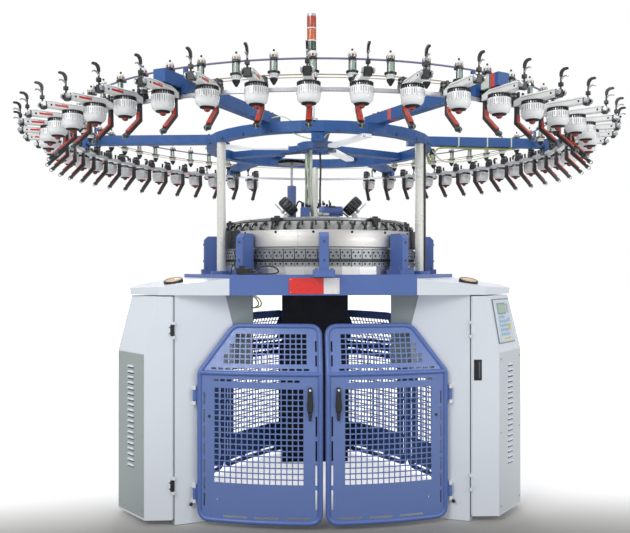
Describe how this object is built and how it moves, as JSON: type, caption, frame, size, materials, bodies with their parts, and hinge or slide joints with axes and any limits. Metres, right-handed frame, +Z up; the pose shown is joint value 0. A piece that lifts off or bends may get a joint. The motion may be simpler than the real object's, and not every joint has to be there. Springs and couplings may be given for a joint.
{
  "type": "circular jacquard knitting machine",
  "caption": "Circular knitting machine: three-legged base with perforated guard doors, electrical cabinets, knitting head with selector ring, and an overhead ring of yarn feeders.",
  "frame": {"origin": "the middle of the whole machine's plan at floor level; the vertical axis of the knitting head stands 41 mm behind it, at +Y", "axes": "+Z up, the front of the machine with its operating panel side faces -Y, +X to the right seen from the front"},
  "size_m": [3.5374, 3.4489, 2.733],
  "materials": {
    "blue_paint": "semi-gloss blue paint",
    "dark_casting": "dark painted casting",
    "grey_paint": "satin pale grey paint",
    "polished_steel": "polished steel",
    "dark_steel": "dark machined steel",
    "column_steel": "bright ground steel",
    "white_plastic": "white plastic housings",
    "black_plastic": "black plastic",
    "lamp_plastic": "coloured lamp plastic",
    "violet_rod": "violet coated rod",
    "cable_sleeve": "pale cable sleeve"
  },
  "bodies": {
    "machine": {"bed": "blue_paint", "brake_row_front": "violet_rod", "brake_row_left": "violet_rod", "brake_row_right": "violet_rod", "cabinet_left": "grey_paint", "cabinet_lid_left": "grey_paint", "cabinet_lid_right": "grey_paint", "cabinet_right": "grey_paint", "column_cable": "black_plastic", "column_front_left": "column_steel", "column_front_right": "column_steel", "column_rear": "column_steel", "creel_frame": "blue_paint", "dial": "polished_steel", "dial_cable": "cable_sleeve", "dial_drive": "blue_paint", "dial_motor": "blue_paint", "fan_left": "black_plastic", "fan_right": "black_plastic", "feeder_row_front": "white_plastic", "feeder_row_left": "white_plastic", "feeder_row_right": "white_plastic", "leg_cover_left_front": "grey_paint", "leg_cover_left_rear": "grey_paint", "leg_cover_right_front": "grey_paint", "leg_cover_right_rear": "grey_paint", "leg_front_left": "dark_casting", "leg_front_right": "dark_casting", "leg_rear": "dark_casting", "light_bar_1": "white_plastic", "light_bar_2": "white_plastic", "light_bar_3": "white_plastic", "lower_cam_ring": "polished_steel", "needle_band": "polished_steel", "selector_ring": "dark_steel", "signal_lamp": "lamp_plastic", "yarn_guide_ring": "dark_steel"},
    "guard_door_front_left": {"door_front_left_leaf": "blue_paint"},
    "guard_door_front_right": {"door_front_right_leaf": "blue_paint"},
    "guard_door_rear_right_left": {"door_rear_right_left_leaf": "blue_paint"},
    "guard_door_rear_right_right": {"door_rear_right_right_leaf": "blue_paint"},
    "guard_door_rear_left_left": {"door_rear_left_left_leaf": "blue_paint"},
    "guard_door_rear_left_right": {"door_rear_left_right_leaf": "blue_paint"},
    "cabinet_cover_left": {"cabinet_door_left": "grey_paint"},
    "cabinet_cover_right": {"cabinet_door_right": "grey_paint", "control_panel": "black_plastic"}
  },
  "joints": [
    {"name": "guard_door_front_left_hinge", "type": "hinge", "parent": "machine", "child": "guard_door_front_left", "pos_m": [-0.692, -0.57263, 0.431], "axis": [0, 0, -1], "range_deg": [0, 90]},
    {"name": "guard_door_front_right_hinge", "type": "hinge", "parent": "machine", "child": "guard_door_front_right", "pos_m": [0.692, -0.57263, 0.431], "axis": [0, 0, 1], "range_deg": [0, 90]},
    {"name": "guard_door_rear_right_left_hinge", "type": "hinge", "parent": "machine", "child": "guard_door_rear_right_left", "pos_m": [0.87768, -0.25103, 0.431], "axis": [0, 0, -1], "range_deg": [0, 90]},
    {"name": "guard_door_rear_right_right_hinge", "type": "hinge", "parent": "machine", "child": "guard_door_rear_right_right", "pos_m": [0.18568, 0.94755, 0.431], "axis": [0, 0, 1], "range_deg": [0, 90]},
    {"name": "guard_door_rear_left_left_hinge", "type": "hinge", "parent": "machine", "child": "guard_door_rear_left_left", "pos_m": [-0.18568, 0.94755, 0.431], "axis": [0, 0, -1], "range_deg": [0, 90]},
    {"name": "guard_door_rear_left_right_hinge", "type": "hinge", "parent": "machine", "child": "guard_door_rear_left_right", "pos_m": [-0.87768, -0.25103, 0.431], "axis": [0, 0, 1], "range_deg": [0, 90]},
    {"name": "cabinet_cover_left_hinge", "type": "hinge", "parent": "machine", "child": "cabinet_cover_left", "pos_m": [-0.80552, -0.59371, 0.63], "axis": [0, 0, 1], "range_deg": [0, 90]},
    {"name": "cabinet_cover_right_hinge", "type": "hinge", "parent": "machine", "child": "cabinet_cover_right", "pos_m": [0.80552, -0.59371, 0.63], "axis": [0, 0, -1], "range_deg": [0, 90]}
  ]
}
